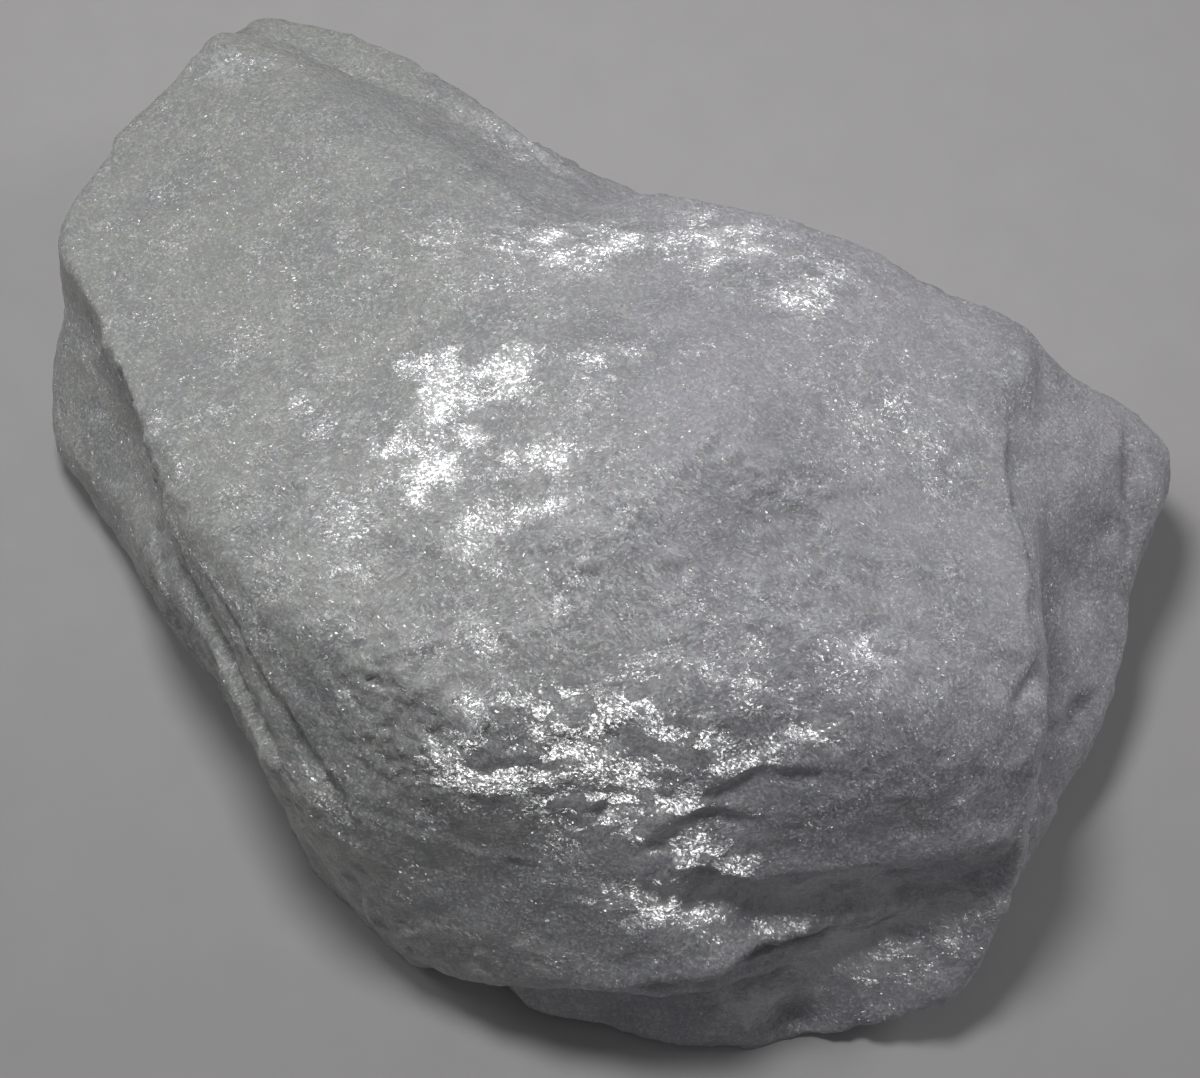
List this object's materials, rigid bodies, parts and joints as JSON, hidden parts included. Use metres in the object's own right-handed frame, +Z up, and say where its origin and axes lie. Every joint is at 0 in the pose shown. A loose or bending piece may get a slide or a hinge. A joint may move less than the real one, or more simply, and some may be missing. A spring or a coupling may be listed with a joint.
{
  "type": "anhydrite specimen",
  "caption": "Hand specimen of massive anhydrite: one broken, faintly bedded, pale blue-grey stone with a domed top, a lower lobe at the back left, a shoulder at the right and stepped lips at the front",
  "frame": {"origin": "on the floor, under the middle of the stone's bounding box", "axes": "+X to the stone's right shoulder, along its longest side; +Y to its back; +Z up, from the flat sole to the domed top"},
  "size_m": [0.1072, 0.101, 0.0407],
  "materials": {
    "anhydrite": "broken surface of sugary, slightly translucent crystal, with small cleavage faces that glint"
  },
  "bodies": {
    "root": {"anhydrite": "anhydrite"}
  },
  "joints": []
}
